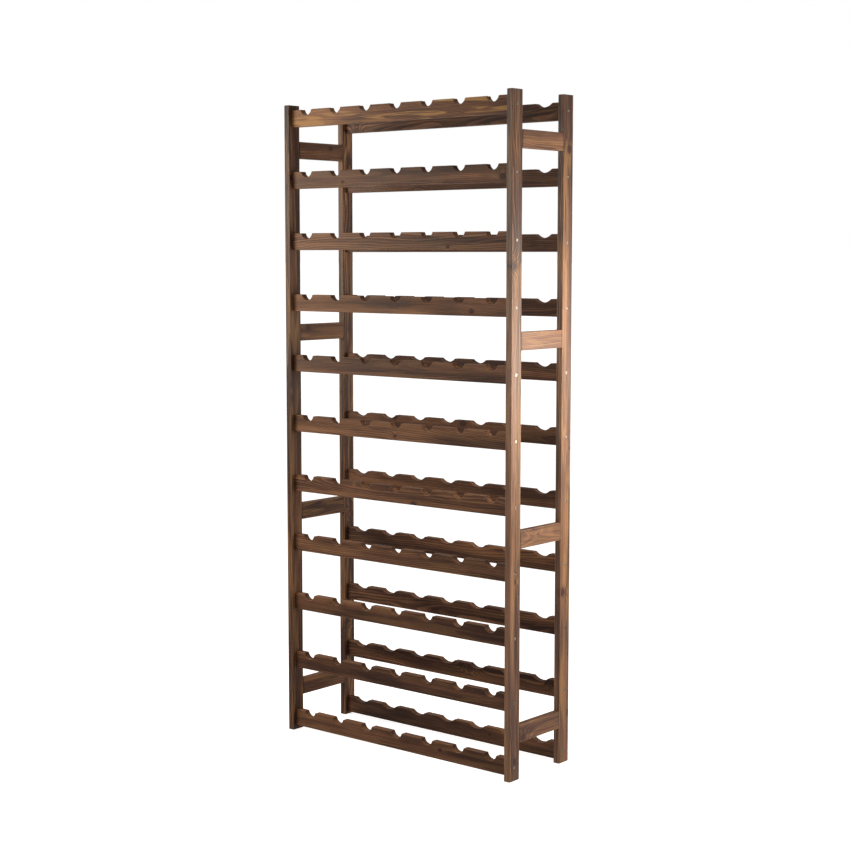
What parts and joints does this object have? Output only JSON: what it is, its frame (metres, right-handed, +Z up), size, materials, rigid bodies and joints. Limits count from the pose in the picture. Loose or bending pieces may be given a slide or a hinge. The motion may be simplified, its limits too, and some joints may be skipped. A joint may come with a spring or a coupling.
{
  "type": "wine rack",
  "caption": "Tall free-standing slatted wine rack of stained pine: slim posts carry scalloped front and back rails that cradle bottles lying flat, with short rungs tying each side frame.",
  "frame": {"origin": "on the floor, in the middle of the rack's footprint", "axes": "+X to the rack's right, the front (bottle necks) faces -Y, +Z up"},
  "size_m": [0.765, 0.25, 1.7],
  "materials": {
    "stained_pine_post": "walnut-brown stain under a thin satin lacquer, straight grain along the post",
    "stained_pine_rail": "walnut-brown stain under a thin satin lacquer, long wavy grain with lighter streaks",
    "stained_pine_rung": "walnut-brown stain under a thin satin lacquer, a little lighter than the posts",
    "screw_steel": "zinc-plated countersunk head with a cross recess",
    "beech_dowel": "plain unfinished beech"
  },
  "bodies": {
    "root": {"back_left_post": "stained_pine_post", "back_left_rail_screws": "screw_steel", "back_rail_row_01": "stained_pine_rail", "back_rail_row_02": "stained_pine_rail", "back_rail_row_03": "stained_pine_rail", "back_rail_row_04": "stained_pine_rail", "back_rail_row_05": "stained_pine_rail", "back_rail_row_06": "stained_pine_rail", "back_rail_row_07": "stained_pine_rail", "back_rail_row_08": "stained_pine_rail", "back_rail_row_09": "stained_pine_rail", "back_rail_row_10": "stained_pine_rail", "back_rail_row_11": "stained_pine_rail", "back_right_post": "stained_pine_post", "back_right_rail_screws": "screw_steel", "front_left_post": "stained_pine_post", "front_left_rail_screws": "screw_steel", "front_rail_row_01": "stained_pine_rail", "front_rail_row_02": "stained_pine_rail", "front_rail_row_03": "stained_pine_rail", "front_rail_row_04": "stained_pine_rail", "front_rail_row_05": "stained_pine_rail", "front_rail_row_06": "stained_pine_rail", "front_rail_row_07": "stained_pine_rail", "front_rail_row_08": "stained_pine_rail", "front_rail_row_09": "stained_pine_rail", "front_rail_row_10": "stained_pine_rail", "front_rail_row_11": "stained_pine_rail", "front_right_post": "stained_pine_post", "front_right_rail_screws": "screw_steel", "left_rung_1": "stained_pine_rung", "left_rung_2": "stained_pine_rung", "left_rung_3": "stained_pine_rung", "left_rung_4": "stained_pine_rung", "left_rung_dowels": "beech_dowel", "right_rung_1": "stained_pine_rung", "right_rung_2": "stained_pine_rung", "right_rung_3": "stained_pine_rung", "right_rung_4": "stained_pine_rung", "right_rung_dowels": "beech_dowel"}
  },
  "joints": []
}
